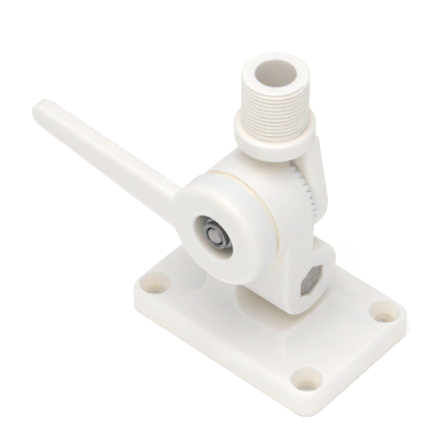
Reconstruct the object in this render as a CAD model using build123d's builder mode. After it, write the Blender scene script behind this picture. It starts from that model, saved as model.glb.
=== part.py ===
from build123d import *
import os
from math import isclose, radians, sqrt, tan

# Two-axis ratchet swivel bracket in moulded nylon with stainless hardware.
# Millimetres. The origin is the centre of the plate's underside, +Z is up,
# +X runs along the plate's long side and -Y is the side of the clamping lever.

# Base: plate, screw holes, pedestal and toothed lug
PLATE_LENGTH = 95.0
PLATE_WIDTH = 65.0
PLATE_THICKNESS = 12.0
PLATE_CORNER_RADIUS = 6.5
PLATE_EDGE_RADIUS = 2.6
HOLE_SPACING_X = 79.0
HOLE_SPACING_Y = 48.0
HOLE_RADIUS = 3.8
HOLE_MOUTH_RADIUS = 6.35
HOLE_CONE_DEPTH = 5.1
CORE_DEPTH = 3.4
CORE_RIM = 4.0
RIB_THICKNESS = 3.0
RIBS_X = (-20.0, 0.0, 20.0)
RIBS_Y = (-12.0, 0.0, 12.0)
PEDESTAL_HALF_X = 20.0
PEDESTAL_HALF_Y = 15.4
LUG_RADIUS = 14.4  # its round top just clears the barrel
COVE_RADIUS = 9.0
LEDGE_Z = 16.5
LEDGE_FILLET = 6.5

# Axes of the two ratchet joints, and the height of the upper one
LOWER_AXIS_Z = 35.4
UPPER_AXIS_Z = 70.7

# Ratchet teeth: radial V teeth whose depth grows from nothing on the axis
TEETH = 45
TOOTH_SLOPE = 2.4 / 21.3  # depth over radius along the bottom of a groove
TOOTH_FILL = 0.92  # width of a groove over the pitch, so that a crest is flat
TOOTH_GAP = 0.3  # how far the two faces stand apart along the axis

# Swivel body: knuckle, neck and barrel
LUG_FACE_X = -5.1
KNUCKLE_RADIUS = 15.6
KNUCKLE_FACE_X = 21.3
KNUCKLE_EDGE_RADIUS = 1.6
KNUCKLE_CLEARANCE = 0.7
LOWER_TOOTH_INNER = 6.5
NECK_SIDE_Y = 1.0
BARREL_RADIUS = 21.3
BARREL_FACE_Y = 1.6
SPIGOT_RADIUS = 19.9  # the end of the barrel, inside the skirt of the lever hub
SPIGOT_SHOULDER_Y = -19.7
UPPER_TOOTH_INNER = 9.5
SPRING_POCKET_RADIUS = 8.0
SPRING_POCKET_Y = -9.0
BARREL_BORE_RADIUS = 12.8
BARREL_BORE_Y = -16.3

# Face cam between the barrel and the lever hub: two lobes
CAM_LOBES = 2
CAM_RISE = 4.5  # over half a turn
CAM_TURN = 120.0  # turn of the lever from clamped to released
CAM_STOP_ANGLE = 4.0  # left between the steps of the lobes when released
CAM_GAP = 0.3
CAM_OVERCUT = 0.1  # the ramps in the hub reach this far into its walls
CAM_TIP_Y = -27.5

# Stem: toothed ear, tapered arm, collar and threaded tube
EAR_RADIUS = 20.6
EAR_OUTER_Y = 9.9
EAR_EDGE_RADIUS = 1.2
EAR_STEP = 0.05  # from the ear's rim down to its face
EAR_CLEARANCE = 0.6  # round the ear, where the knuckle is relieved for it
ARM_EDGE_RADIUS = 2.8
ARM_HALF_WIDTH = 15.0
ARM_TOP_Z = 101.5
TUBE_AXIS_Y = 1.4
COLLAR_RADIUS = 15.4
COLLAR_BOTTOM_Z = 98.6
COLLAR_TOP_Z = 106.4
COLLAR_EDGE_RADIUS = 1.2
TUBE_TOP_Z = 129.8
TUBE_BORE_RADIUS = 7.7
TUBE_BORE_BOTTOM_Z = 102.0
THREAD_RADIUS = 12.7  # 1 inch, 14 turns per inch
THREAD_PITCH = 25.4 / 14
THREAD_DEPTH = 1.05
THREAD_FLAT = 0.25
THREAD_OVERCUT = 0.1
THREAD_START = 1.0  # above the collar
THREAD_LENGTH = 21.8
THREAD_LEAD_IN = 0.7

# Lever: hub and arm
HUB_RADIUS = 22.0
HUB_FRONT_Y = -34.5
HUB_RIM_Y = -23.0
HUB_EDGE_RADIUS = 3.0
SKIRT_INNER_RADIUS = 20.2
NUT_RECESS_RADIUS = 9.8
NUT_RECESS_Y = -23.0
NUT_RECESS_LIP = 1.2
BOSS_RADIUS = 12.5
BOSS_END_Y = -19.8
LEVER_THICKNESS = 7.6
LEVER_EDGE_RADIUS = 2.0
LEVER_ROOT = (0.0, 68.9)
LEVER_ROOT_RADIUS = 9.1
LEVER_TIP = (-89.5, 78.1)
LEVER_TIP_RADIUS = 5.4

# Fasteners: 5/16 inch hex bolts, lock nuts with a nylon insert, flat washers
SHANK_RADIUS = 3.97
HEAD_FLATS = 12.7
HEAD_HEIGHT = 5.2
HEX_CORNER = 0.99  # radius that trims the corners of a hexagon, over its corner radius
BOLT_END_CHAMFER = 0.5
UPPER_BOLT_LENGTH = 38.1
LOWER_BOLT_LENGTH = 44.45
BOLT_HOLE_RADIUS = 4.05
HEX_CLEARANCE = 0.9
UPPER_HEAD_SEAT_Y = 4.8
LOWER_HEAD_SEAT_X = 15.2
LUG_RECESS_RADIUS = 9.8
LUG_RECESS_DEPTH = 3.0
WASHER_RADIUS = 8.7
WASHER_THICKNESS = 1.6
NUT_HEIGHT = 8.7
NUT_HEX_HEIGHT = 6.4
NUT_CROWN_RADIUS = 5.6
NUT_CROWN_EDGE = 1.0
NUT_BORE_RADIUS = 4.0
NUT_MOUTH_RADIUS = 4.45
INSERT_RADIUS = 4.9
INSERT_HEIGHT = 2.2
INSERT_DEPTH = 0.5  # from the top of the crown down to the insert

# Release spring, round the upper bolt
SPRING_RADIUS = 6.2
SPRING_WIRE_RADIUS = 0.65
SPRING_TURNS = 4
SPRING_END_GAP = 0.4


def lower_plane(x):
    """The plane across the lower axis at x, facing +X."""
    return Plane(origin=(x, 0, LOWER_AXIS_Z), x_dir=(0, 1, 0), z_dir=(1, 0, 0))


def upper_plane(y):
    """The plane across the upper axis at y, facing +Y."""
    return Plane(origin=(0, y, UPPER_AXIS_Z), x_dir=(1, 0, 0), z_dir=(0, 1, 0))


# One groove between two ratchet teeth: a pyramid that lies along +X with its
# tip on the axis and its bottom edge sloping away below the XY plane.
GROOVE_REACH = 24.0
GROOVE_HALF_WIDTH = GROOVE_REACH * tan(radians(180 / TEETH)) * TOOTH_FILL
GROOVE_DEPTH = GROOVE_REACH * TOOTH_SLOPE
PLAIN_RING_DEPTH = GROOVE_DEPTH / 2  # the floor inside a ring of teeth
with BuildPart() as groove:
    with BuildSketch(Plane(origin=(GROOVE_REACH, 0, 0), x_dir=(0, 1, 0), z_dir=(1, 0, 0))) as groove_end:
        Polygon((-GROOVE_HALF_WIDTH, 0), (0, -GROOVE_DEPTH), (GROOVE_HALF_WIDTH, 0), align=None)
    loft(sections=[groove_end.sketch, Vertex(0, 0, 0)])

with BuildPart() as groove_fan:
    with PolarLocations(0, TEETH):
        add(groove.part)


def tooth_ring(inner, outer):
    """The teeth that fill the grooves between two radii."""
    with BuildPart() as ring:
        with BuildSketch(Plane.XY.offset(-GROOVE_DEPTH)):
            Circle(outer)
            Circle(inner, mode=Mode.SUBTRACT)
        extrude(amount=GROOVE_DEPTH)
        add(groove_fan.part, mode=Mode.INTERSECT)
    return ring.part


def cam_ramp(inner, outer, height):
    """Half a turn of a helical ramp round Z: the space above its surface if
    height is positive, or below it if negative. It climbs CAM_RISE from Z=0."""
    middle = (inner + outer) / 2
    with BuildPart() as ramp:
        with BuildLine() as path:
            Helix(pitch=CAM_LOBES * CAM_RISE, height=CAM_RISE, radius=middle)
        with BuildSketch(Plane.XZ):
            with Locations((middle, height / 2)):
                Rectangle(outer - inner, abs(height))
        sweep(path=path.wires()[0], is_frenet=True)
    return ramp.part


def hexagon(flats):
    """A hexagon with corners at its top and bottom, sized across its flats."""
    return RegularPolygon(flats / 2, 6, major_radius=False, rotation=30)


def hex_prism(seat, height):
    """A fastener's hexagon on the seat plane, with its corners trimmed round."""
    with BuildPart() as prism:
        with BuildSketch(seat):
            hexagon(HEAD_FLATS)
            Circle(HEAD_FLATS / sqrt(3) * HEX_CORNER, mode=Mode.INTERSECT)
        extrude(amount=height)
    return prism.part


def hex_bolt(seat, length):
    """A bolt whose head stands on the seat plane and whose shank runs against
    the plane's normal."""
    with BuildPart() as bolt:
        add(hex_prism(seat, HEAD_HEIGHT))
        with BuildSketch(seat):
            Circle(SHANK_RADIUS)
        extrude(amount=-length)
        end = bolt.faces().filter_by(GeomType.PLANE).sort_by(Axis(seat.origin, seat.z_dir))[0]
        chamfer(end.edges(), BOLT_END_CHAMFER)
    return bolt.part


def lock_nut(seat):
    """A lock nut that stands on the seat plane: hexagon, round crown, and the
    groove inside the crown that holds the nylon insert."""
    with BuildPart() as nut:
        add(hex_prism(seat, NUT_HEX_HEIGHT))
        with BuildSketch(seat):
            Circle(NUT_CROWN_RADIUS)
        extrude(amount=NUT_HEIGHT)
        top = nut.faces().filter_by(GeomType.PLANE).sort_by(Axis(seat.origin, seat.z_dir))[-1]
        fillet(top.edges(), NUT_CROWN_EDGE)
        with BuildSketch(seat):
            Circle(NUT_BORE_RADIUS)
        extrude(amount=NUT_HEIGHT, mode=Mode.SUBTRACT)
        with BuildSketch(seat.offset(NUT_HEIGHT)):
            Circle(NUT_MOUTH_RADIUS)
        extrude(amount=-INSERT_DEPTH, mode=Mode.SUBTRACT)
        with BuildSketch(seat.offset(NUT_HEIGHT - INSERT_DEPTH)):
            Circle(INSERT_RADIUS)
        extrude(amount=-INSERT_HEIGHT, mode=Mode.SUBTRACT)
    return nut.part


def nut_insert(seat):
    """The nylon ring inside a lock nut that stands on the seat plane."""
    with BuildPart() as insert:
        with BuildSketch(seat.offset(NUT_HEIGHT - INSERT_DEPTH)):
            Circle(INSERT_RADIUS)
            Circle(NUT_BORE_RADIUS, mode=Mode.SUBTRACT)
        extrude(amount=-INSERT_HEIGHT)
    return insert.part


def flat_washer(seat):
    """A washer that lies on the seat plane."""
    with BuildPart() as washer:
        with BuildSketch(seat):
            Circle(WASHER_RADIUS)
            Circle(BOLT_HOLE_RADIUS, mode=Mode.SUBTRACT)
        extrude(amount=WASHER_THICKNESS)
    return washer.part


# Base: a coved pedestal, made as the overlap of its two side profiles.
cove_top_z = PLATE_THICKNESS + COVE_RADIUS
with BuildPart() as pedestal:
    with BuildSketch(Plane.XZ):
        with BuildLine():
            foot = PEDESTAL_HALF_X + COVE_RADIUS
            Polyline((0, 0), (foot, 0), (foot, PLATE_THICKNESS))
            RadiusArc((foot, PLATE_THICKNESS), (PEDESTAL_HALF_X, cove_top_z), COVE_RADIUS)
            Polyline(
                (PEDESTAL_HALF_X, cove_top_z),
                (PEDESTAL_HALF_X, LOWER_AXIS_Z + LUG_RADIUS),
                (0, LOWER_AXIS_Z + LUG_RADIUS),
            )
            mirror(about=Plane.YZ)
        make_face()
    extrude(amount=PLATE_WIDTH / 2, both=True)
    with BuildSketch(Plane.YZ):
        with BuildLine():
            foot = PEDESTAL_HALF_Y + COVE_RADIUS
            Polyline((0, 0), (foot, 0), (foot, PLATE_THICKNESS))
            RadiusArc((foot, PLATE_THICKNESS), (PEDESTAL_HALF_Y, cove_top_z), COVE_RADIUS)
            Line((PEDESTAL_HALF_Y, cove_top_z), (LUG_RADIUS, LOWER_AXIS_Z))
            TangentArc((LUG_RADIUS, LOWER_AXIS_Z), (0, LOWER_AXIS_Z + LUG_RADIUS), tangent=(0, 1))
            mirror(about=Plane.YZ)
        make_face()
    extrude(amount=PLATE_LENGTH / 2, both=True, mode=Mode.INTERSECT)
    # everything in front of the lug comes off down to the ledge, with a fillet
    with BuildSketch(Plane.XZ):
        with BuildLine():
            RadiusArc(
                (LUG_FACE_X, LEDGE_Z + LEDGE_FILLET), (LUG_FACE_X + LEDGE_FILLET, LEDGE_Z), -LEDGE_FILLET
            )
            Polyline(
                (LUG_FACE_X + LEDGE_FILLET, LEDGE_Z),
                (PLATE_LENGTH / 2, LEDGE_Z),
                (PLATE_LENGTH / 2, UPPER_AXIS_Z),
                (LUG_FACE_X, UPPER_AXIS_Z),
                (LUG_FACE_X, LEDGE_Z + LEDGE_FILLET),
            )
        make_face()
    extrude(amount=PLATE_WIDTH / 2, both=True, mode=Mode.SUBTRACT)
    # room for the knuckle to turn
    with BuildSketch(lower_plane(LUG_FACE_X)):
        Circle(KNUCKLE_RADIUS + KNUCKLE_CLEARANCE)
    extrude(amount=PLATE_LENGTH / 2, mode=Mode.SUBTRACT)
    # teeth on the lug's face, with a plain ring inside them
    with Locations(lower_plane(LUG_FACE_X)):
        grooves = tooth_ring(LOWER_TOOTH_INNER - TOOTH_GAP, LUG_RADIUS + TOOTH_GAP)
        add(grooves, mode=Mode.SUBTRACT)
    with BuildSketch(lower_plane(LUG_FACE_X)):
        Circle(LOWER_TOOTH_INNER)
    extrude(amount=-PLAIN_RING_DEPTH, mode=Mode.SUBTRACT)

with BuildPart() as base:
    with BuildSketch():
        RectangleRounded(PLATE_LENGTH, PLATE_WIDTH, PLATE_CORNER_RADIUS)
    extrude(amount=PLATE_THICKNESS)
    fillet(base.faces().sort_by(Axis.Z)[-1].edges(), PLATE_EDGE_RADIUS)
    add(pedestal.part)
    # the underside is cored between a rim and ribs
    with BuildSketch():
        core_radius = PLATE_CORNER_RADIUS - CORE_RIM / 2
        RectangleRounded(PLATE_LENGTH - 2 * CORE_RIM, PLATE_WIDTH - 2 * CORE_RIM, core_radius)
        for x in RIBS_X:
            with Locations((x, 0)):
                Rectangle(RIB_THICKNESS, PLATE_WIDTH, mode=Mode.SUBTRACT)
        for y in RIBS_Y:
            with Locations((0, y)):
                Rectangle(PLATE_LENGTH, RIB_THICKNESS, mode=Mode.SUBTRACT)
    extrude(amount=CORE_DEPTH, mode=Mode.SUBTRACT)
    # screw holes: a steep cone down to a short land
    with BuildSketch(Plane.XY.offset(PLATE_THICKNESS)):
        with GridLocations(HOLE_SPACING_X, HOLE_SPACING_Y, 2, 2):
            Circle(HOLE_RADIUS)
    extrude(amount=-PLATE_THICKNESS, mode=Mode.SUBTRACT)
    with GridLocations(HOLE_SPACING_X, HOLE_SPACING_Y, 2, 2):
        with Locations((0, 0, PLATE_THICKNESS - HOLE_CONE_DEPTH / 2)):
            Cone(HOLE_RADIUS, HOLE_MOUTH_RADIUS, HOLE_CONE_DEPTH, mode=Mode.SUBTRACT)
    # bolt hole through the lug, and the round recess in its back
    with BuildSketch(lower_plane(LUG_FACE_X)):
        Circle(BOLT_HOLE_RADIUS)
    extrude(amount=-PEDESTAL_HALF_X, mode=Mode.SUBTRACT)
    with BuildSketch(lower_plane(-PEDESTAL_HALF_X)):
        Circle(LUG_RECESS_RADIUS)
    extrude(amount=LUG_RECESS_DEPTH, mode=Mode.SUBTRACT)

# Swivel body
with BuildPart() as swivel_body:
    knuckle_back_x = LUG_FACE_X + TOOTH_GAP
    with BuildSketch(Plane.YZ.offset(knuckle_back_x)):
        with Locations((0, LOWER_AXIS_Z)):
            Circle(KNUCKLE_RADIUS)
        with BuildLine():
            Polyline(
                (-KNUCKLE_RADIUS, LOWER_AXIS_Z),
                (NECK_SIDE_Y, LOWER_AXIS_Z),
                (NECK_SIDE_Y, UPPER_AXIS_Z),
                (-KNUCKLE_RADIUS, UPPER_AXIS_Z),
                close=True,
            )
        make_face()
    extrude(amount=KNUCKLE_FACE_X - knuckle_back_x)
    face_edges = swivel_body.faces().sort_by(Axis.X)[-1].edges()
    fillet(face_edges.sort_by(Axis.Z)[:-1], KNUCKLE_EDGE_RADIUS)
    # relief for the stem's ear, then the barrel and its spigot
    with BuildSketch(upper_plane(NECK_SIDE_Y)):
        Circle(EAR_RADIUS + EAR_CLEARANCE)
    extrude(amount=KNUCKLE_RADIUS, mode=Mode.SUBTRACT)
    with BuildSketch(upper_plane(SPIGOT_SHOULDER_Y)):
        Circle(BARREL_RADIUS)
    extrude(amount=BARREL_FACE_Y - SPIGOT_SHOULDER_Y)
    with BuildSketch(upper_plane(CAM_TIP_Y)):
        Circle(SPIGOT_RADIUS)
    extrude(amount=SPIGOT_SHOULDER_Y - CAM_TIP_Y)
    # upper teeth, the plain ring inside them and the pocket of the spring
    with Locations(upper_plane(BARREL_FACE_Y)):
        add(groove_fan.part, mode=Mode.SUBTRACT)
    with BuildSketch(upper_plane(BARREL_FACE_Y)):
        Circle(UPPER_TOOTH_INNER)
    extrude(amount=-PLAIN_RING_DEPTH, mode=Mode.SUBTRACT)
    with BuildSketch(upper_plane(BARREL_FACE_Y)):
        Circle(SPRING_POCKET_RADIUS)
    extrude(amount=SPRING_POCKET_Y - BARREL_FACE_Y, mode=Mode.SUBTRACT)
    # the cam ramps, and the bore that takes the boss of the lever
    cam_start = CAM_TURN + CAM_STOP_ANGLE
    for lobe in range(CAM_LOBES):
        with Locations(upper_plane(CAM_TIP_Y) * Rot(Z=cam_start + lobe * 360 / CAM_LOBES)):
            add(cam_ramp(BOSS_RADIUS, HUB_RADIUS, -2 * CAM_RISE), mode=Mode.SUBTRACT)
    with BuildSketch(upper_plane(CAM_TIP_Y)):
        Circle(BARREL_BORE_RADIUS)
    extrude(amount=BARREL_BORE_Y - CAM_TIP_Y, mode=Mode.SUBTRACT)
    with BuildSketch(upper_plane(CAM_TIP_Y)):
        Circle(BOLT_HOLE_RADIUS)
    extrude(amount=BARREL_FACE_Y - CAM_TIP_Y, mode=Mode.SUBTRACT)
    # lower teeth, bolt hole and the recess for the head of the lower bolt
    with Locations(lower_plane(knuckle_back_x)):
        add(tooth_ring(LOWER_TOOTH_INNER + TOOTH_GAP, LUG_RADIUS))
    with BuildSketch(lower_plane(knuckle_back_x)):
        Circle(BOLT_HOLE_RADIUS)
    extrude(amount=KNUCKLE_FACE_X, mode=Mode.SUBTRACT)
    with BuildSketch(lower_plane(LOWER_HEAD_SEAT_X)):
        hexagon(HEAD_FLATS + HEX_CLEARANCE)
    extrude(amount=KNUCKLE_FACE_X - LOWER_HEAD_SEAT_X, mode=Mode.SUBTRACT)

# Stem: the collar and the groove of the thread are made first.
with BuildPart() as collar:
    with BuildSketch(Plane((0, TUBE_AXIS_Y, COLLAR_BOTTOM_Z))):
        Circle(COLLAR_RADIUS)
    extrude(amount=COLLAR_TOP_Z - COLLAR_BOTTOM_Z)
    fillet(collar.edges().filter_by(GeomType.CIRCLE), COLLAR_EDGE_RADIUS)

with BuildPart() as thread_groove:
    with BuildLine() as thread_path:
        Helix(pitch=THREAD_PITCH, height=THREAD_LENGTH, radius=THREAD_RADIUS)
    with BuildSketch(Plane.XZ):
        mouth = (THREAD_PITCH - THREAD_FLAT) / 2
        flank_slope = (mouth - THREAD_FLAT / 2) / THREAD_DEPTH
        Polygon(
            (THREAD_RADIUS + THREAD_OVERCUT, mouth + THREAD_OVERCUT * flank_slope),
            (THREAD_RADIUS - THREAD_DEPTH, THREAD_FLAT / 2),
            (THREAD_RADIUS - THREAD_DEPTH, -THREAD_FLAT / 2),
            (THREAD_RADIUS + THREAD_OVERCUT, -mouth - THREAD_OVERCUT * flank_slope),
            align=None,
        )
    sweep(path=thread_path.wires()[0], is_frenet=True)

with BuildPart() as threaded_tube:
    with BuildSketch(Plane((0, TUBE_AXIS_Y, COLLAR_TOP_Z))):
        Circle(THREAD_RADIUS)
    extrude(amount=TUBE_TOP_Z - COLLAR_TOP_Z)
    with Locations((0, TUBE_AXIS_Y, COLLAR_TOP_Z + THREAD_START)):
        add(thread_groove.part, mode=Mode.SUBTRACT)
    # the lead-in at the mouth
    with BuildSketch(Plane.XZ.offset(-TUBE_AXIS_Y)):
        Polygon(
            (0, COLLAR_TOP_Z),
            (THREAD_RADIUS, COLLAR_TOP_Z),
            (THREAD_RADIUS, TUBE_TOP_Z - THREAD_LEAD_IN),
            (THREAD_RADIUS - THREAD_LEAD_IN, TUBE_TOP_Z),
            (0, TUBE_TOP_Z),
            align=None,
        )
    revolve(axis=Axis((0, TUBE_AXIS_Y, 0), (0, 0, 1)), mode=Mode.INTERSECT)

with BuildPart() as stem:
    ear_inner_y = BARREL_FACE_Y + TOOTH_GAP
    with BuildSketch(Plane.XZ.offset(-ear_inner_y)):
        with Locations((0, UPPER_AXIS_Z)):
            Circle(EAR_RADIUS)
        with Locations((0, (COLLAR_BOTTOM_Z + ARM_TOP_Z) / 2)):
            Rectangle(2 * ARM_HALF_WIDTH, ARM_TOP_Z - COLLAR_BOTTOM_Z)
        make_hull()
    extrude(amount=-(EAR_OUTER_Y - ear_inner_y))
    fillet(stem.faces().sort_by(Axis.Y)[-1].edges(), EAR_EDGE_RADIUS)
    fillet(stem.faces().sort_by(Axis.Y)[0].edges(), ARM_EDGE_RADIUS)
    # the ear keeps a full face for its teeth
    with BuildSketch(upper_plane(ear_inner_y)):
        Circle(EAR_RADIUS - EAR_STEP)
    extrude(amount=(EAR_OUTER_Y - ear_inner_y) / 2)
    add(collar.part)
    with Locations(upper_plane(ear_inner_y)):
        add(tooth_ring(UPPER_TOOTH_INNER + TOOTH_GAP, EAR_RADIUS - EAR_STEP))
    add(threaded_tube.part)
    with BuildSketch(Plane((0, TUBE_AXIS_Y, TUBE_TOP_Z))):
        Circle(TUBE_BORE_RADIUS)
    extrude(amount=TUBE_BORE_BOTTOM_Z - TUBE_TOP_Z, mode=Mode.SUBTRACT)
    # bolt hole and the recess for the head of the upper bolt
    with BuildSketch(upper_plane(0)):
        Circle(BOLT_HOLE_RADIUS)
    extrude(amount=EAR_OUTER_Y, mode=Mode.SUBTRACT)
    with BuildSketch(upper_plane(UPPER_HEAD_SEAT_Y)):
        hexagon(HEAD_FLATS + HEX_CLEARANCE)
    extrude(amount=EAR_OUTER_Y - UPPER_HEAD_SEAT_Y, mode=Mode.SUBTRACT)

# Lever
with BuildPart() as hub:
    with BuildSketch(upper_plane(HUB_FRONT_Y)):
        Circle(HUB_RADIUS)
    extrude(amount=HUB_RIM_Y - HUB_FRONT_Y)
    fillet(hub.faces().sort_by(Axis.Y)[0].edges(), HUB_EDGE_RADIUS)

with BuildPart() as lever:
    with BuildSketch(Plane.XZ.offset(-HUB_FRONT_Y)):
        with Locations(LEVER_ROOT):
            Circle(LEVER_ROOT_RADIUS)
        with Locations(LEVER_TIP):
            Circle(LEVER_TIP_RADIUS)
        make_hull()
    extrude(amount=-LEVER_THICKNESS)
    fillet(lever.faces().filter_by(Axis.Y).edges(), LEVER_EDGE_RADIUS)
    add(hub.part)
    # the skirt's inside: a plain ring at the rim, then the cam ramps
    ceiling_low_y = CAM_TIP_Y - CAM_GAP - CAM_RISE * (CAM_TURN + CAM_STOP_ANGLE) * CAM_LOBES / 360
    ceiling_high_y = ceiling_low_y + CAM_RISE
    with BuildSketch(upper_plane(HUB_RIM_Y)):
        Circle(SKIRT_INNER_RADIUS)
    extrude(amount=ceiling_high_y - HUB_RIM_Y, mode=Mode.SUBTRACT)
    for lobe in range(CAM_LOBES):
        with Locations(upper_plane(ceiling_low_y) * Rot(Z=lobe * 360 / CAM_LOBES)):
            ramp = cam_ramp(BOSS_RADIUS - CAM_OVERCUT, SKIRT_INNER_RADIUS + CAM_OVERCUT, 2 * CAM_RISE)
            add(ramp, mode=Mode.SUBTRACT)
    with BuildSketch(upper_plane(NUT_RECESS_Y)):
        Circle(BOSS_RADIUS)
    extrude(amount=BOSS_END_Y - NUT_RECESS_Y)
    with BuildSketch(upper_plane(HUB_FRONT_Y)):
        Circle(BOSS_RADIUS)
    extrude(amount=NUT_RECESS_Y - HUB_FRONT_Y)
    # recess for the washer and the nut, with a rounded lip, and the bolt hole
    with BuildSketch(upper_plane(HUB_FRONT_Y)):
        Circle(NUT_RECESS_RADIUS)
    extrude(amount=NUT_RECESS_Y - HUB_FRONT_Y, mode=Mode.SUBTRACT)
    front_circles = lever.edges().filter_by(GeomType.CIRCLE).group_by(Axis.Y)[0]
    fillet(front_circles.filter_by(lambda circle: isclose(circle.radius, NUT_RECESS_RADIUS)), NUT_RECESS_LIP)
    with BuildSketch(upper_plane(NUT_RECESS_Y)):
        Circle(BOLT_HOLE_RADIUS)
    extrude(amount=BOSS_END_Y - NUT_RECESS_Y, mode=Mode.SUBTRACT)

# Release spring: a coil round the upper bolt
with BuildPart() as coil:
    spring_height = BARREL_FACE_Y - SPRING_POCKET_Y - 2 * SPRING_WIRE_RADIUS - SPRING_END_GAP
    with BuildLine() as coil_path:
        Helix(pitch=spring_height / SPRING_TURNS, height=spring_height, radius=SPRING_RADIUS)
    with BuildSketch(Plane(origin=coil_path.wires()[0] @ 0, z_dir=coil_path.wires()[0] % 0)):
        Circle(SPRING_WIRE_RADIUS)
    sweep(path=coil_path.wires()[0], is_frenet=True)

with BuildPart() as release_spring:
    with Locations(upper_plane(SPRING_POCKET_Y + SPRING_WIRE_RADIUS + SPRING_END_GAP / 2)):
        add(coil.part)

upper_washer_seat = -upper_plane(NUT_RECESS_Y)
upper_nut_seat = upper_washer_seat.offset(WASHER_THICKNESS)
lower_washer_seat = -lower_plane(LUG_RECESS_DEPTH - PEDESTAL_HALF_X)
lower_nut_seat = lower_washer_seat.offset(WASHER_THICKNESS)

pieces = {
    "base": base.part,
    "swivel_body": swivel_body.part,
    "stem": stem.part,
    "lever": lever.part,
    "release_spring": release_spring.part,
    "upper_bolt": hex_bolt(upper_plane(UPPER_HEAD_SEAT_Y), UPPER_BOLT_LENGTH),
    "upper_washer": flat_washer(upper_washer_seat),
    "upper_lock_nut": lock_nut(upper_nut_seat),
    "upper_nut_insert": nut_insert(upper_nut_seat),
    "lower_bolt": hex_bolt(lower_plane(LOWER_HEAD_SEAT_X), LOWER_BOLT_LENGTH),
    "lower_washer": flat_washer(lower_washer_seat),
    "lower_lock_nut": lock_nut(lower_nut_seat),
    "lower_nut_insert": nut_insert(lower_nut_seat),
}
os.makedirs("parts", exist_ok=True)
for name, piece in pieces.items():
    piece.label = name
    export_step(piece, f"parts/{name}.step")
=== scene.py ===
import math

import bmesh
import bpy
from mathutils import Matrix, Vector


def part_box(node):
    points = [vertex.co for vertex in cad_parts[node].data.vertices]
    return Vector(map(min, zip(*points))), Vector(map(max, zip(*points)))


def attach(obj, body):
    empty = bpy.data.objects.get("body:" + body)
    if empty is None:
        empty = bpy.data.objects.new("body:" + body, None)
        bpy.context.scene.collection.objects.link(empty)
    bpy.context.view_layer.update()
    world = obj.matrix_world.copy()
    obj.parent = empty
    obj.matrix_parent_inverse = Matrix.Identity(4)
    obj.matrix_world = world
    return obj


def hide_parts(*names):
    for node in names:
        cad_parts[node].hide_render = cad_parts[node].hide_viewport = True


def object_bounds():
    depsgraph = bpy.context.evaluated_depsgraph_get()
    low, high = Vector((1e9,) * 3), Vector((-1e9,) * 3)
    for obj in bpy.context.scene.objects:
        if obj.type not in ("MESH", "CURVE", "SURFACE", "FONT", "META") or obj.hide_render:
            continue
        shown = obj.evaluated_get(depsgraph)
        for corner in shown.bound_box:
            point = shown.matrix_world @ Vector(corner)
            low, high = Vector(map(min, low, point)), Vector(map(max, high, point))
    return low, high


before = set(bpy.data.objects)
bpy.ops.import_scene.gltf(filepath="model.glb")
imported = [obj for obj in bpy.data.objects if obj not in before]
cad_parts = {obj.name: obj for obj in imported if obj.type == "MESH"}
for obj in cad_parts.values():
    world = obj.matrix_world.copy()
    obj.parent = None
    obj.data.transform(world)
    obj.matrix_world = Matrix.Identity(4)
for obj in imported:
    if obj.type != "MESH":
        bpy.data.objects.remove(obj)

cad_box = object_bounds()

# Nylon ratchet bracket: the four mouldings are the CAD nodes with their own
# materials, and the hardware is rebuilt here in more detail. Metres throughout.

MM = 0.001

# The camera looks down at the bracket from between +X and -Y.
VIEW_AZIMUTH = math.radians(41.09)
VIEW_ELEVATION = math.radians(44.67)
VIEW_TARGET = Vector((-0.0310, 0.0079, 0.0267))
VIEW_DISTANCE = 1.085
VIEW_LENS = 217.05

EDGE_ROUND = 0.5 * MM  # how soft the edges of the mouldings look
PAINTED_LIGHT_REACH = 10 * MM  # how far from a crease the painted warm light reaches
# painted light: a warmer, brighter colour than the nylon, laid into creases and hollows in place of
# light bounced into them and light through the nylon
PAINTED_CREASE_LIGHT = (0.98, 0.90, 0.79)
NYLON_IOR = 1.53
STEEL_CLOUD = 0.18  # how much darker the clouds in the steel are

# 5/16 inch hardware, 18 threads to the inch
HEX_FLATS = 12.7 * MM
HEX_CORNER = 0.985  # of the corner radius, where the corners are rounded off
HEX_CHAMFER = math.radians(30)
HEAD_HEIGHT = 5.2 * MM
SHANK_RADIUS = 3.95 * MM
THREAD_PITCH = 25.4 * MM / 18
THREAD_DEPTH = 0.75 * MM
THREAD_LENGTH = 22 * MM
THREAD_STEPS = 8  # rings of mesh in each turn of a thread
NUT_HEX_HEIGHT = 6.4 * MM
NUT_BORE = 4.0 * MM
NUT_MOUTH = 4.45 * MM
CROWN_RADIUS = 5.6 * MM
INSERT_RADIUS = 4.9 * MM
WASHER_BORE = 4.05 * MM
SOFT_EDGE = 0.3 * MM
SEAT_GAP = 0.01 * MM  # keeps a ring off the faces it lies between
SEGMENTS = 96
CREASE_ANGLE = math.radians(32)

# Release spring
WIRE_RADIUS = 0.65 * MM
SPRING_TURNS = 6
SPRING_CLOSED = 1.0  # turns at each end that lie against each other
WIRE_SIDES = 14
STEPS_PER_TURN = 48

# Stage
FLOOR_SIZE = 6.0
FLOOR_GLOW = 0.16  # keeps the card white, as in the photo
ROOM_LIGHT = 0.53
KEY_PLACE = (0.05, -0.18, 0.85)
KEY_SIZE = 0.7
KEY_POWER = 4.4
KEY_TINT = (1.0, 0.99, 0.97)


def low(node, axis):
    """The lowest coordinate of a CAD node along an axis."""
    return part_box(node)[0][axis]


def high(node, axis):
    """The highest coordinate of a CAD node along an axis."""
    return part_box(node)[1][axis]


def middle(node):
    """The middle of a CAD node's box."""
    lo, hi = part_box(node)
    return (lo + hi) / 2


# ---------------------------------------------------------------- camera

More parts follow.
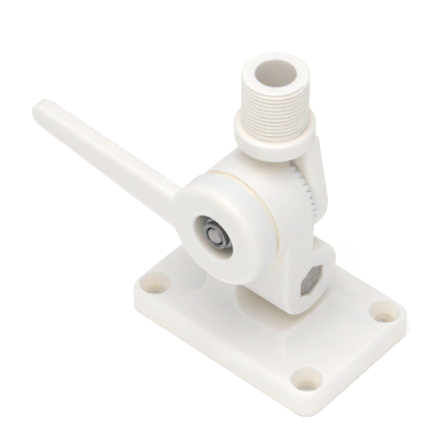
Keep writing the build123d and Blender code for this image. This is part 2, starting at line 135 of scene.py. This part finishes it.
def make_camera():
    back = Vector((
        math.sin(VIEW_AZIMUTH) * math.cos(VIEW_ELEVATION),
        -math.cos(VIEW_AZIMUTH) * math.cos(VIEW_ELEVATION),
        math.sin(VIEW_ELEVATION),
    ))
    data = bpy.data.cameras.new("camera")
    data.lens = VIEW_LENS
    data.sensor_width = 36.0
    data.clip_start = 0.05
    data.clip_end = 20.0
    camera = bpy.data.objects.new("camera", data)
    bpy.context.scene.collection.objects.link(camera)
    camera.location = VIEW_TARGET + back * VIEW_DISTANCE
    camera.rotation_mode = "QUATERNION"
    camera.rotation_quaternion = (-back).to_track_quat("-Z", "Y")
    bpy.context.scene.camera = camera


# ---------------------------------------------------------------- materials

class Nodes:
    """A new material with a Principled shader, and short ways to add nodes to it."""

    def __init__(self, name):
        self.material = bpy.data.materials.new(name)
        self.material.use_nodes = True
        self.tree = self.material.node_tree
        self.shader = self.tree.nodes["Principled BSDF"]
        self.place = self.add("ShaderNodeTexCoord").outputs["Object"]

    def add(self, kind, **settings):
        node = self.tree.nodes.new(kind)
        for key, value in settings.items():
            setattr(node, key, value)
        return node

    def link(self, source, target):
        self.tree.links.new(source, target)

    def set(self, **values):
        """Sets sockets of the shader; an underscore stands for a space."""
        for key, value in values.items():
            self.shader.inputs[key.replace("_", " ")].default_value = value

    def noise(self, scale, detail=2.0):
        node = self.add("ShaderNodeTexNoise")
        node.inputs["Scale"].default_value = scale
        node.inputs["Detail"].default_value = detail
        self.link(self.place, node.inputs["Vector"])
        return node.outputs["Fac"]

    def ramp(self, value, stops):
        """Colours (or greys) along a value."""
        node = self.add("ShaderNodeValToRGB")
        elements = node.color_ramp.elements
        while len(elements) < len(stops):
            elements.new(0.5)
        for element, (position, colour) in zip(elements, stops):
            element.position = position
            grey = isinstance(colour, (int, float))
            element.color = (colour, colour, colour, 1) if grey else (*colour, 1)
        self.link(value, node.inputs["Fac"])
        return node.outputs["Color"]

    def mix(self, factor, one, two):
        node = self.add("ShaderNodeMix", data_type="RGBA")
        for key, value in (("Factor", factor), ("A", one), ("B", two)):
            socket = node.inputs[key]
            if isinstance(value, bpy.types.NodeSocket):
                self.link(value, socket)
            elif isinstance(value, tuple):
                socket.default_value = (*value, 1)
            else:
                socket.default_value = value
        return node.outputs["Result"]

    def bump(self, height, strength, distance, normal=None):
        node = self.add("ShaderNodeBump")
        node.inputs["Strength"].default_value = strength
        node.inputs["Distance"].default_value = distance
        self.link(height, node.inputs["Height"])
        if normal:
            self.link(normal, node.inputs["Normal"])
        return node.outputs["Normal"]


def nylon(name, tint, shade):
    """Satin white nylon: a soft tint that wanders, painted warm light down in the
    creases and hollows, a fine moulded grain and slow sink marks."""
    m = Nodes(name)
    cloud = m.noise(28.0, 3.0)
    speck = m.noise(900.0, 2.0)
    body = m.ramp(cloud, [(0.3, shade), (0.7, tint)])
    body = m.mix(m.ramp(speck, [(0.35, 0.0), (0.75, 0.12)]), body, tuple(c * 0.93 for c in tint))
    crease = m.add("ShaderNodeAmbientOcclusion", samples=12)
    crease.inputs["Distance"].default_value = PAINTED_LIGHT_REACH
    # painted light: where the occlusion is deep the colour turns to the painted warm crease light
    painted_light_mask = m.ramp(crease.outputs["AO"], [(0.2, 1.0), (0.9, 0.0)])
    body = m.mix(painted_light_mask, body, PAINTED_CREASE_LIGHT)
    m.link(body, m.shader.inputs["Base Color"])
    m.link(m.ramp(m.noise(160.0, 4.0), [(0.3, 0.40), (0.7, 0.52)]), m.shader.inputs["Roughness"])
    soft = m.add("ShaderNodeBevel", samples=6)
    soft.inputs["Radius"].default_value = EDGE_ROUND
    grain = m.bump(m.noise(1500.0, 3.0), 0.10, 0.1 * MM, soft.outputs["Normal"])
    sink = m.bump(m.noise(60.0, 1.0), 0.10, 1.0 * MM, grain)
    m.link(sink, m.shader.inputs["Normal"])
    m.set(IOR=NYLON_IOR, Subsurface_Weight=0.8, Subsurface_Scale=4 * MM)
    m.shader.inputs["Subsurface Radius"].default_value = (1.0, 0.75, 0.52)
    return m.material


def steel(name, tint, roughness, mottle=0.0):
    """Stainless steel with fine scratches, or with a mottled forged skin."""
    m = Nodes(name)
    m.set(Metallic=1.0)
    cloud = m.noise(420.0, 4.0)
    body = m.ramp(cloud, [(0.3, tuple(c * (1 - STEEL_CLOUD - mottle) for c in tint)), (0.7, tint)])
    m.link(body, m.shader.inputs["Base Color"])
    m.link(m.ramp(cloud, [(0.3, roughness + 0.10), (0.7, roughness)]), m.shader.inputs["Roughness"])
    scratch = m.bump(m.noise(2600.0, 3.0), 0.15 + mottle, 0.05 * MM)
    m.link(scratch, m.shader.inputs["Normal"])
    return m.material


def dark_nylon(name):
    """The dark blue nylon of the lock nut's ring."""
    m = Nodes(name)
    m.link(m.ramp(m.noise(700.0), [(0.3, (0.012, 0.020, 0.060)), (0.7, (0.022, 0.038, 0.105))]),
           m.shader.inputs["Base Color"])
    m.link(m.bump(m.noise(1800.0, 3.0), 0.2, 0.05 * MM), m.shader.inputs["Normal"])
    m.set(Roughness=0.38, IOR=NYLON_IOR)
    return m.material


def pale_floor():
    m = Nodes("floor_card")
    m.link(m.ramp(m.noise(4.0), [(0.3, 0.93), (0.7, 0.95)]), m.shader.inputs["Base Color"])
    m.set(Roughness=0.9, Emission_Strength=FLOOR_GLOW)
    m.shader.inputs["Emission Color"].default_value = (1.0, 1.0, 1.0, 1)
    return m.material


# ---------------------------------------------------------------- mesh helpers

def new_object(name, verts, faces):
    """A closed mesh with its normals outwards and sharp creases kept sharp."""
    mesh = bpy.data.meshes.new(name)
    mesh.from_pydata(verts, [], faces)
    work = bmesh.new()
    work.from_mesh(mesh)
    bmesh.ops.recalc_face_normals(work, faces=work.faces)
    work.to_mesh(mesh)
    work.free()
    for polygon in mesh.polygons:
        polygon.use_smooth = True
    mesh.set_sharp_from_angle(angle=CREASE_ANGLE)
    obj = bpy.data.objects.new(name, mesh)
    bpy.context.scene.collection.objects.link(obj)
    return obj


def along(axis, direction, centre):
    """A function that turns (x, y, z) into the row frame, with z along an axis
    from a centre and x straight up. direction is 1 or -1."""
    z_axis = Vector((0, 0, 0))
    z_axis[axis] = direction
    x_axis = Vector((0, 0, 1))
    y_axis = z_axis.cross(x_axis)
    return lambda x, y, z: Vector(centre) + x * x_axis + y * y_axis + z * z_axis


def lathe(name, place, rings, closed=False):
    """A mesh of rings round an axis. Each ring is (radius, height), and either
    may be a function of the angle. An open profile ends on the axis."""
    verts, faces = [], []
    for ring in rings:
        for k in range(SEGMENTS):
            angle = 2 * math.pi * k / SEGMENTS
            r, h = (value(angle) if callable(value) else value for value in ring)
            verts.append(place(r * math.cos(angle), r * math.sin(angle), h))
    count = len(rings)
    for n in range(count if closed else count - 1):
        a, b = n * SEGMENTS, (n + 1) % count * SEGMENTS
        for k in range(SEGMENTS):
            j = (k + 1) % SEGMENTS
            faces.append((a + k, a + j, b + j, b + k))
    if not closed:
        for n in (0, count - 1):
            verts.append(place(0, 0, rings[n][1]))
            for k in range(SEGMENTS):
                faces.append((len(verts) - 1, n * SEGMENTS + k, n * SEGMENTS + (k + 1) % SEGMENTS))
    return new_object(name, verts, faces)


def hex_radius(angle):
    """The outline of a hexagon whose corners point along x and are rounded off."""
    flat = HEX_FLATS / 2 / math.cos(angle % (math.pi / 3) - math.pi / 6)
    return min(flat, HEX_FLATS / math.sqrt(3) * HEX_CORNER)


def hex_end(height, inward):
    """The rings where the end face of a hexagon meets its sides: a 30 degree
    cone that cuts the corners. inward is -1 at the top and 1 at the bottom."""
    face_radius = HEX_FLATS / 2 - SOFT_EDGE

    def edge(angle):
        return height + inward * (hex_radius(angle) - face_radius) * math.tan(HEX_CHAMFER)

    return (face_radius, height), (hex_radius, edge)


def thread_radius(height):
    """The radius of a right-handed V thread at a height, as a function of the angle."""
    def radius(angle):
        turn = (height / THREAD_PITCH - angle / (2 * math.pi)) % 1
        return SHANK_RADIUS - THREAD_DEPTH * (1 - abs(2 * turn - 1))
    return radius


def bolt(name, axis, body):
    """A hexagon bolt with a dished head and a threaded end, head towards + on its axis."""
    seat = middle(name)
    seat[axis] = high(name, axis) - HEAD_HEIGHT
    length = seat[axis] - low(name, axis)
    dish = HEX_FLATS / 2 - 2 * SOFT_EDGE
    top, corner = hex_end(HEAD_HEIGHT, -1)
    washer_face = HEX_FLATS / 2 - SOFT_EDGE
    rings = [
        (dish * 0.5, HEAD_HEIGHT - SOFT_EDGE), (dish - SOFT_EDGE, HEAD_HEIGHT - SOFT_EDGE),
        (dish, HEAD_HEIGHT),
        top, corner, (hex_radius, SOFT_EDGE),
        (washer_face, SOFT_EDGE), (washer_face, 0),
        (SHANK_RADIUS, 0), (SHANK_RADIUS, THREAD_LENGTH - length),
    ]
    steps = round(THREAD_LENGTH / THREAD_PITCH * THREAD_STEPS) - THREAD_STEPS
    for k in range(1, steps):
        height = THREAD_LENGTH - length - k * THREAD_PITCH / THREAD_STEPS
        rings.append((thread_radius(height), height))
    root = SHANK_RADIUS - THREAD_DEPTH
    rings += [(root, SOFT_EDGE - length), (root - SOFT_EDGE, -length)]
    piece = lathe(name + "_detail", along(axis, 1, seat), rings)
    finish_piece(piece, body, "fastener_steel", bolt_steel, name)


def lock_nut(name, axis, body):
    """A lock nut on its seat, crown towards - on its axis."""
    seat = middle(name)
    seat[axis] = high(name, axis)
    height = seat[axis] - low(name, axis)
    bottom, low_corner = hex_end(0, 1)
    top, high_corner = hex_end(NUT_HEX_HEIGHT, -1)
    rim = CROWN_RADIUS - NUT_MOUTH
    crown = [
        (CROWN_RADIUS - rim / 2 + rim / 2 * math.cos(turn),
         height - rim / 2 + rim / 2 * math.sin(turn))
        for turn in (math.pi * k / 10 for k in range(11))
    ]
    insert_top = low(name.replace("lock_nut", "nut_insert"), axis)
    rings = [
        (NUT_BORE + SOFT_EDGE, 0), bottom, low_corner, high_corner, top,
        (CROWN_RADIUS, NUT_HEX_HEIGHT), *crown,
        (NUT_MOUTH, seat[axis] - insert_top), (NUT_BORE, seat[axis] - insert_top),
        (NUT_BORE, SOFT_EDGE),
    ]
    nut = lathe(name + "_detail", along(axis, -1, seat), rings, closed=True)
    finish_piece(nut, body, "fastener_steel", nut_steel, name)


def ring(name, axis, body, bore, outer, slot, material):
    """A flat ring with soft edges in place of a CAD ring."""
    centre = middle(name)
    half = (high(name, axis) - low(name, axis)) / 2 - SEAT_GAP
    rings = []
    for radius, level, start in (
        (outer - SOFT_EDGE, half - SOFT_EDGE, 0), (bore + SOFT_EDGE, half - SOFT_EDGE, 1),
        (bore + SOFT_EDGE, SOFT_EDGE - half, 2), (outer - SOFT_EDGE, SOFT_EDGE - half, 3),
    ):
        for k in range(5):
            turn = math.pi / 2 * (start + k / 4)
            rings.append((radius + SOFT_EDGE * math.cos(turn), level + SOFT_EDGE * math.sin(turn)))
    piece = lathe(name + "_detail", along(axis, 1, centre), rings, closed=True)
    finish_piece(piece, body, slot, material, name)


def spring(name, body):
    """The release spring round Y: a coil with closed ends."""
    centre = middle(name)
    lo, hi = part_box(name)
    radius = (hi.x - lo.x) / 2 - WIRE_RADIUS
    place = along(1, 1, (centre.x, lo.y + WIRE_RADIUS, centre.z))
    travel = hi.y - lo.y - 2 * WIRE_RADIUS
    closed_rise = 2 * WIRE_RADIUS
    steps = SPRING_TURNS * STEPS_PER_TURN
    verts, faces = [], []
    for k in range(steps + 1):
        turn = SPRING_TURNS * k / steps
        open_part = (turn - SPRING_CLOSED) / (SPRING_TURNS - 2 * SPRING_CLOSED)
        if turn < SPRING_CLOSED:
            height = closed_rise * turn
        elif turn > SPRING_TURNS - SPRING_CLOSED:
            height = travel - closed_rise * (SPRING_TURNS - turn)
        else:
            height = closed_rise + (travel - 2 * closed_rise) * open_part
        angle = 2 * math.pi * turn
        for n in range(WIRE_SIDES):
            side = 2 * math.pi * n / WIRE_SIDES
            r = radius + WIRE_RADIUS * math.cos(side)
            level = height + WIRE_RADIUS * math.sin(side)
            verts.append(place(r * math.cos(angle), r * math.sin(angle), level))
    for k in range(steps):
        for n in range(WIRE_SIDES):
            m = (n + 1) % WIRE_SIDES
            faces.append((
                k * WIRE_SIDES + n, k * WIRE_SIDES + m,
                (k + 1) * WIRE_SIDES + m, (k + 1) * WIRE_SIDES + n,
            ))
    last = steps * WIRE_SIDES
    faces += [tuple(range(WIRE_SIDES)), tuple(range(last, last + WIRE_SIDES))]
    piece = new_object(name + "_detail", verts, faces)
    finish_piece(piece, body, "spring_steel", spring_steel, name)


def finish_piece(obj, body, slot, material, *nodes):
    obj.data.materials.append(material)
    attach(obj, body)
    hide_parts(*nodes)


make_camera()

bpy.ops.mesh.primitive_plane_add(size=FLOOR_SIZE, location=(0, 0, cad_box[0].z))
floor = bpy.context.object
floor.name = "floor"
floor.data.materials.append(pale_floor())

world = bpy.data.worlds.new("studio")
world.use_nodes = True
world.node_tree.nodes["Background"].inputs["Color"].default_value = (1.0, 1.0, 1.0, 1)
world.node_tree.nodes["Background"].inputs["Strength"].default_value = ROOM_LIGHT
bpy.context.scene.world = world

key_data = bpy.data.lights.new("key", "AREA")
key_data.shape = "SQUARE"
key_data.size = KEY_SIZE
key_data.energy = KEY_POWER
key_data.color = KEY_TINT
key = bpy.data.objects.new("key", key_data)
bpy.context.scene.collection.objects.link(key)
key.location = KEY_PLACE
key.rotation_mode = "QUATERNION"
centre = (cad_box[0] + cad_box[1]) / 2
key.rotation_quaternion = (centre - Vector(KEY_PLACE)).to_track_quat("-Z", "Y")
bpy.context.scene.view_settings.view_transform = "Standard"

BASE_WHITE = (0.90, 0.89, 0.88)
WHITE = (0.85, 0.842, 0.832)
SHADE = (0.83, 0.82, 0.805)
nylon_of = {
    "base": nylon("base_nylon", BASE_WHITE, WHITE),
    "swivel_body": nylon("body_nylon", WHITE, SHADE),
    "stem": nylon("stem_nylon", WHITE, SHADE),
    "lever": nylon("lever_nylon", WHITE, SHADE),
}
for node, material in nylon_of.items():
    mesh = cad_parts[node].data
    mesh.materials.clear()
    mesh.materials.append(material)

bolt_steel = steel("bolt_steel", (0.48, 0.45, 0.44), 0.42, mottle=0.1)
nut_steel = steel("nut_steel", (0.32, 0.32, 0.34), 0.26)
ring_nylon = dark_nylon("ring_nylon")
spring_steel = steel("spring_steel", (0.60, 0.60, 0.59), 0.30)

bolt("upper_bolt", 1, "stem")
bolt("lower_bolt", 0, "swivel")
lock_nut("upper_lock_nut", 1, "stem")
lock_nut("lower_lock_nut", 0, "swivel")
ring("upper_nut_insert", 1, "stem", NUT_BORE, INSERT_RADIUS, "insert_nylon", ring_nylon)
ring("lower_nut_insert", 0, "swivel", NUT_BORE, INSERT_RADIUS, "insert_nylon", ring_nylon)
upper_washer_radius = (high("upper_washer", 0) - low("upper_washer", 0)) / 2
lower_washer_radius = (high("lower_washer", 1) - low("lower_washer", 1)) / 2
ring("upper_washer", 1, "carriage", WASHER_BORE, upper_washer_radius, "fastener_steel", nut_steel)
ring("lower_washer", 0, "swivel", WASHER_BORE, lower_washer_radius, "fastener_steel", nut_steel)
spring("release_spring", "swivel")
